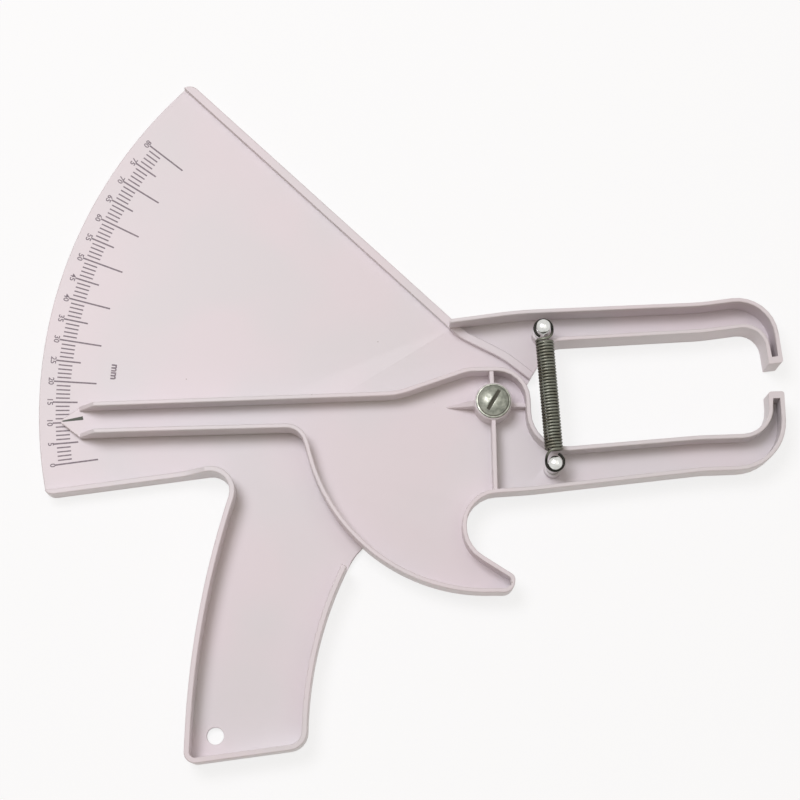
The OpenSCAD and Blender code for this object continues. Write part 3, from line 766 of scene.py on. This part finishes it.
class CALIPER_OT_pivot(bpy.types.Operator):
    """The pivot's screw, washers and insert"""
    bl_idname = "caliper.pivot"
    bl_label = "Pivot"

    def execute(self, context):
        chosen = settings("caliper_fittings")
        shank, pitch, groove, into_head = 1.95 * MM, 0.7 * MM, 0.25 * MM, 0.1 * MM
        washer_bore, washer_edge, doubles = 2.2 * MM, 0.18 * MM, 0.002 * MM
        screw_low, screw_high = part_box("pivot_screw")
        washer_low, washer_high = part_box("pivot_washer")
        head = grid_mesh("head", screw_head(chosen, washer_high.z, screw_high.x, screw_high.z),
                         (False, True))
        tidy(head, doubles)
        thread = thread_profile(shank, screw_low.z, washer_high.z + into_head, pitch, groove)
        threaded = turned("shank", thread, (0, 0), sides=40)
        mesh = bpy.data.meshes.new("pivot_screw_turned")
        work = bmesh.new()
        work.from_mesh(head)
        work.from_mesh(threaded)
        work.to_mesh(mesh)
        work.free()
        for spare in (head, threaded):
            bpy.data.meshes.remove(spare)
        smooth(mesh)
        as_piece("pivot_screw_slotted", mesh, "body", "slotted_zinc_plate",
                 ("pivot_screw",))
        ring = rounded_ring(washer_bore, washer_high.x, washer_low.z, washer_high.z, washer_edge)
        washer = turned("washer", ring, (0, 0), sides=96, closed=True)
        as_piece("pivot_washer_pressed", washer, "body", "zinc_plate",
                 ("pivot_washer",))
        finish_with(frame["nodes"]["pivot_insert"], "turned_brass")
        finish_with(frame["nodes"]["thrust_washer"], "natural_nylon")
        return {"FINISHED"}


def post_profile(low, seat, high, waist, radius, wire):
    """Profile of a post: pin, shoulder, shaft, neck round the wire's height, domed head. The
    head's cap is an arc of a sphere through its crown and its rim."""
    pin, pin_edge, shoulder_edge = 1.5 * MM, 0.25 * MM, 0.1 * MM
    neck, lip, fillet = 0.95 * wire, 0.15 * MM, 0.3 * MM
    dome, rim, below_rim, rim_edge = 1.0 * MM, 0.12 * MM, 0.05 * MM, 0.12 * MM
    sphere = (radius ** 2 + dome ** 2) / 2 / dome
    cap = np.linspace(math.asin((radius - rim) / sphere), 0, 12)
    top = np.stack([sphere * np.sin(cap), high - sphere + sphere * np.cos(cap)], axis=1)
    side = rounded([(0, low, 0), (pin, low, pin_edge), (pin, seat, 0),
                    (radius, seat, shoulder_edge), (radius, waist - neck, lip),
                    (POST_NECK, waist - neck, fillet), (POST_NECK, waist + neck, fillet),
                    (radius, waist + neck, lip), (radius, high - dome - below_rim, rim_edge),
                    (*top[0], 0)])
    return np.concatenate([side, top])


def push_on_clip(name, centre, outer, low, high):
    """A dished push-on clip: a ring whose inner edge is cut into six tongues. The height
    rises from the rim to the tongues, and the inner radius steps out between them, where the
    cosine of six times the angle is over 0.8."""
    tongues, sides, sheet = 6, 96, 0.3 * MM
    tongue_tip, notch, rim_share = 1.55 * MM, 0.6 * MM, 0.35
    round_by = np.linspace(0, 2 * math.pi, sides, endpoint=False)
    between = (np.cos(tongues * round_by) > 0.8).astype(float)
    share = np.linspace(0, 1, 7)[:, None]
    radius = outer + (tongue_tip + notch * between - outer) * share
    rise = np.clip((share - rim_share) / (1 - rim_share), 0, 1) * (high - low - sheet)
    lower = np.stack([centre[0] + radius * np.cos(round_by),
                      centre[1] + radius * np.sin(round_by),
                      np.broadcast_to(low + rise, radius.shape)], axis=-1)
    upper = lower[::-1] + np.array([0, 0, sheet])
    mesh = grid_mesh(name, np.concatenate([lower, upper]), (True, True))
    tidy(mesh)
    smooth(mesh)
    return mesh


class CALIPER_OT_posts(bpy.types.Operator):
    """The two posts that hold the spring, and the clips on their pins"""
    bl_idname = "caliper.posts"
    bl_label = "Posts"

    def execute(self, context):
        chosen = settings("caliper_fittings")
        seat = 8.5 * MM                  # top of the bosses that the posts stand on
        spring_low, spring_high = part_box("spring")
        waist = (spring_low.z + spring_high.z) / 2
        for node, body in (("upper_post", "body"), ("lower_post", "lever")):
            centre, radius, low, high = middle_of(node)
            profile = post_profile(low, seat, high, waist, radius, chosen.wire)
            as_piece(node + "_turned", turned(node, profile, centre, sides=48), body,
                     "polished_steel", (node,))
            clip = node + "_clip"
            as_piece(clip + "_pressed", push_on_clip(clip, *middle_of(clip)), body,
                     "zinc_plate", (clip,))
        return {"FINISHED"}


# ---- spring -------------------------------------------------------------------------------

LOOP_TURN = math.radians(330)


def spring_path(span, coil_r, loop_r, loop_shift, from_post, curls, ring_steps, loop_steps):
    """Points along the wire and the direction of one side of it. From the upper post at the
    origin towards the lower post at x = span: a flat loop of radius loop_r, its centre
    loop_shift from the post, which rises and opens over its last quarter turn onto the first
    curl, then a helix of radius coil_r, then the first loop turned half round about the
    middle."""
    t = np.linspace(0, 1, loop_steps, endpoint=False)
    a = LOOP_TURN * (1 - t)
    rise = np.where(a < math.pi / 2, np.cos(np.minimum(a, math.pi / 2)) ** 2, 0)
    r = loop_r + (from_post - loop_shift - loop_r) * rise
    loop = np.stack([loop_shift + r * np.cos(a), r * np.sin(a), coil_r * rise], axis=1)
    loop_side = np.tile([0.0, 0.0, 1.0], (loop_steps, 1))
    s = np.linspace(0, 1, curls * ring_steps + 1)
    turn = 2 * math.pi * curls * s
    helix = np.stack([from_post + (span - 2 * from_post) * s, -coil_r * np.sin(turn),
                      coil_r * np.cos(turn)], axis=1)
    helix_side = np.stack([np.zeros_like(s), -np.sin(turn), np.cos(turn)], axis=1)
    far = loop[::-1] * [-1, -1, 1] + [span, 0, 0]
    return (np.concatenate([loop, helix, far]),
            np.concatenate([loop_side, helix_side, loop_side]))


def wire_mesh(name, path, side, radius, sides):
    """A round wire along a path: each ring lies square to the path's direction, which is the
    difference of its neighbours, with its first point on the given side. The ends are domed.
    Its UV map holds the distances along the wire and round it."""
    along = np.gradient(path, axis=0)
    along /= np.linalg.norm(along, axis=1, keepdims=True)
    side = side - along * np.sum(side * along, axis=1, keepdims=True)
    side /= np.linalg.norm(side, axis=1, keepdims=True)
    other = np.cross(along, side)
    dome, flatter = np.array([0.0, 0.5, 0.85]), 0.6
    shrink = np.sqrt(1 - dome ** 2)
    head = path[0] - along[0] * radius * dome[::-1, None] * flatter
    tail = path[-1] + along[-1] * radius * dome[:, None] * flatter
    path = np.concatenate([head, path, tail])
    side, other = (np.concatenate([np.repeat(way[:1], len(dome), axis=0), way,
                                   np.repeat(way[-1:], len(dome), axis=0)])
                   for way in (side, other))
    scale = np.concatenate([shrink[::-1], np.ones(len(path) - 2 * len(dome)), shrink])
    a = np.linspace(0, 2 * math.pi, sides, endpoint=False)[None, :, None]
    ring = side[:, None] * np.cos(a) + other[:, None] * np.sin(a)
    mesh = grid_mesh(name, path[:, None] + ring * radius * scale[:, None, None], (False, True))
    # Each quad's corners lie on two rings, at the turns k, k, k + 1 and k + 1.
    run = np.concatenate([[0], np.cumsum(np.linalg.norm(np.diff(path, axis=0), axis=1))])
    corner = np.zeros(len(mesh.loops), np.int32)
    mesh.loops.foreach_get("vertex_index", corner)
    turn = corner.reshape(-1, 4)[:, :1] % sides + [0, 0, 1, 1]
    step = 2 * math.pi * radius / sides
    uv = np.stack([run[corner // sides], turn.ravel() * step], axis=1)
    mesh.uv_layers.new(name="wire").data.foreach_set("uv", uv.ravel())
    work = bmesh.new()
    work.from_mesh(mesh)
    work.verts.ensure_lookup_table()
    for first in (0, (len(path) - 1) * sides):
        work.faces.new([work.verts[first + k] for k in range(sides)])
    bmesh.ops.recalc_face_normals(work, faces=work.faces)
    work.to_mesh(mesh)
    work.free()
    smooth(mesh, math.radians(50))
    return mesh


class CALIPER_OT_spring(bpy.types.Operator):
    """The tension spring between the two posts"""
    bl_idname = "caliper.spring"
    bl_label = "Spring"

    def execute(self, context):
        chosen = settings("caliper_fittings")
        loop_r, from_post, between_curls, clear = 3.2 * MM, 4.8 * MM, 0.13 * MM, 0.1 * MM
        ring_steps, loop_steps, sides, fade_steps = 24, 44, 12, 6
        upper, lower = middle_of("upper_post")[0], middle_of("lower_post")[0]
        low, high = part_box("spring")
        waist = (low.z + high.z) / 2
        coil_r = (high.z - low.z) / 2 - chosen.wire / 2
        run = lower - upper
        span = np.linalg.norm(run)
        curls = int((span - 2 * from_post) / (chosen.wire + between_curls))
        # The pull seats each loop against its post's neck.
        loop_shift = loop_r - chosen.wire / 2 - POST_NECK - clear
        path, side = spring_path(span, coil_r, loop_r, loop_shift, from_post, curls, ring_steps,
                                 loop_steps)
        ahead = run / span
        place = np.array([[ahead[0], ahead[1], 0], [-ahead[1], ahead[0], 0], [0, 0, 1]])
        path = path @ place + np.array([upper[0], upper[1], waist])
        mesh = wire_mesh("spring_wound", path, side @ place, chosen.wire / 2, sides)
        # Marks the end loops for their painted shade, 1 on the loops and fading to 0 over fade_steps
        # rings.
        from_end = np.arange(len(mesh.vertices)) // sides
        from_end = np.minimum(from_end, from_end[::-1])
        painted_loop_shade = mesh.attributes.new("painted_loop_shade", "FLOAT", "POINT")
        painted_loop_shade.data.foreach_set("value", np.clip((loop_steps - from_end) / fade_steps, 0, 1))
        piece = in_scene("spring_wound", mesh)
        finish_with(piece, "spring_wire")
        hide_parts("spring")
        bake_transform(piece)
        return {"FINISHED"}


# ---- stage --------------------------------------------------------------------------------

PHOTO_TURN = math.radians(8.15)          # the zero line's slope in the photograph


def in_part_frame(v):
    """A direction given as right, up and out of the photograph, in the part's frame."""
    turn = Matrix.Rotation(-PHOTO_TURN, 3, "Z")
    return turn @ Vector(v)


def make_camera():
    """The camera stands 850 mm from the body's back plane, a little below square on, as a
    fit to the scale's arc, ticks and the walls' visible sides gave."""
    view_tilt, view_side, view_roll = (math.radians(v) for v in (8.15, -0.45, 0.39))
    distance = 850 * MM
    aim = in_part_frame((-33.55, -41.86, 0)) * MM
    back = in_part_frame((math.sin(view_side), -math.sin(view_tilt) * math.cos(view_side),
                          math.cos(view_tilt) * math.cos(view_side)))
    across = in_part_frame((0, 1, 0)).cross(back).normalized()
    up = back.cross(across)
    right = math.cos(view_roll) * across + math.sin(view_roll) * up
    top = -math.sin(view_roll) * across + math.cos(view_roll) * up
    data = bpy.data.cameras.new("camera")
    data.sensor_width = 36
    data.lens = 104.04
    data.shift_y = 0.15
    data.clip_start, data.clip_end = 0.01, 20
    camera = in_scene("camera", data)
    turn = Matrix((right, top, back)).transposed().to_4x4()
    camera.matrix_world = Matrix.Translation(aim + back * distance) @ turn
    bpy.context.scene.camera = camera


def make_lamp(name, towards, distance, size, watts, hex_colour):
    """A square soft lamp that shines at the object's middle from a direction of the photo."""
    data = bpy.data.lights.new(name, "AREA")
    data.shape = "SQUARE"
    data.size = size
    data.energy = watts
    data.color = linear(hex_colour)[:3]
    lamp = in_scene(name, data)
    direction = in_part_frame(towards).normalized()
    middle = (CAD_BOX[0] + CAD_BOX[1]) / 2
    lamp.matrix_world = (Matrix.Translation(middle + direction * distance)
                         @ direction.to_track_quat("Z", "Y").to_matrix().to_4x4())


def seen_directly(tree):
    """1 for what the camera sees by itself or in metal or glass, and 0 for other light."""
    path = add(tree, "ShaderNodeLightPath").outputs
    either = add(tree, "ShaderNodeMath", {0: path["Is Camera Ray"], 1: path["Is Glossy Ray"]},
                 operation="MAXIMUM")
    return add(tree, "ShaderNodeMath", {0: either.outputs[0], 1: path["Is Transmission Ray"]},
               operation="MAXIMUM").outputs[0]


def white_paper(tree, place):
    """Matt white paper: it takes the object's shadow, and is lifted to white where seen. It
    is the same at every place."""
    lifted = 0.8
    matt = add(tree, "ShaderNodeBsdfDiffuse", {"Color": settings("caliper_stage").floor})
    white = add(tree, "ShaderNodeEmission", {"Color": (1, 1, 1, 1), "Strength": 1.0})
    share = add(tree, "ShaderNodeMath", {0: seen_directly(tree), 1: lifted},
                operation="MULTIPLY")
    return add(tree, "ShaderNodeMixShader", {0: share.outputs[0], 1: matt.outputs[0],
                                             2: white.outputs[0]})


def make_room(level):
    """Even light from all round, with a white background where it is seen."""
    world = bpy.data.worlds.new("room")
    bpy.context.scene.world = world
    world.use_nodes = True
    tree = world.node_tree
    tree.nodes.clear()
    light = add(tree, "ShaderNodeBackground", {"Color": linear("#FFEDD8"), "Strength": level})
    white = add(tree, "ShaderNodeBackground", {"Color": (1, 1, 1, 1), "Strength": 1.0})
    mix = add(tree, "ShaderNodeMixShader", {0: seen_directly(tree), 1: light.outputs[0],
                                            2: white.outputs[0]})
    add(tree, "ShaderNodeOutputWorld", {0: mix.outputs[0]})


class CALIPER_OT_stage(bpy.types.Operator):
    """Camera, plain white floor and soft studio light"""
    bl_idname = "caliper.stage"
    bl_label = "Stage"

    def execute(self, context):
        chosen = settings("caliper_stage")
        make_camera()
        reach, drop = 3.0, 0.05 * MM
        points = [(-reach, -reach, -drop), (reach, -reach, -drop), (reach, reach, -drop),
                  (-reach, reach, -drop)]
        mesh = bpy.data.meshes.new("floor")
        mesh.from_pydata(points, [], [(0, 1, 2, 3)])
        floor = in_scene("floor", mesh)
        mesh.materials.append(new_material("white_paper", white_paper))
        make_lamp("key", (-0.3, 0.25, 1.0), 1.3, 0.5, chosen.key_watts, "#F9F7FF")
        make_lamp("front", (0.35, 0.1, 1.0), 1.4, 1.0, chosen.front_watts, "#FFFFFF")
        make_room(chosen.room_level)
        context.scene.view_settings.view_transform = "Standard"
        return {"FINISHED"}


# ---- panel and registration ---------------------------------------------------------------

OPERATORS = (CALIPER_OT_stage, CALIPER_OT_mouldings, CALIPER_OT_scale, CALIPER_OT_index,
             CALIPER_OT_pivot, CALIPER_OT_posts, CALIPER_OT_spring)
GROUPS = {"caliper_moulding": MouldingSettings, "caliper_scale": ScaleSettings,
          "caliper_fittings": FittingSettings, "caliper_stage": StageSettings}


class CALIPER_PT_panel(bpy.types.Panel):
    """Lists the caliper's pieces and their sizes and colours"""
    bl_idname = "CALIPER_PT_panel"
    bl_label = "Skinfold Caliper"
    bl_space_type = "VIEW_3D"
    bl_region_type = "UI"
    bl_category = "Caliper"

    def draw(self, context):
        for operator in OPERATORS:
            self.layout.operator(operator.bl_idname)
        for name, group in GROUPS.items():
            box = self.layout.box()
            for key in group.__annotations__:
                box.prop(getattr(context.scene, name), key)


def register():
    for name, group in GROUPS.items():
        bpy.utils.register_class(group)
        setattr(bpy.types.Scene, name, bpy.props.PointerProperty(type=group))
    for operator in OPERATORS:
        bpy.utils.register_class(operator)
    bpy.utils.register_class(CALIPER_PT_panel)


def unregister():
    bpy.utils.unregister_class(CALIPER_PT_panel)
    for operator in reversed(OPERATORS):
        bpy.utils.unregister_class(operator)
    for name, group in reversed(GROUPS.items()):
        delattr(bpy.types.Scene, name)
        bpy.utils.unregister_class(group)


def main():
    register()
    for operator in OPERATORS:
        group, name = operator.bl_idname.split(".")
        getattr(getattr(bpy.ops, group), name)()


if __name__ == "__main__":
    main()
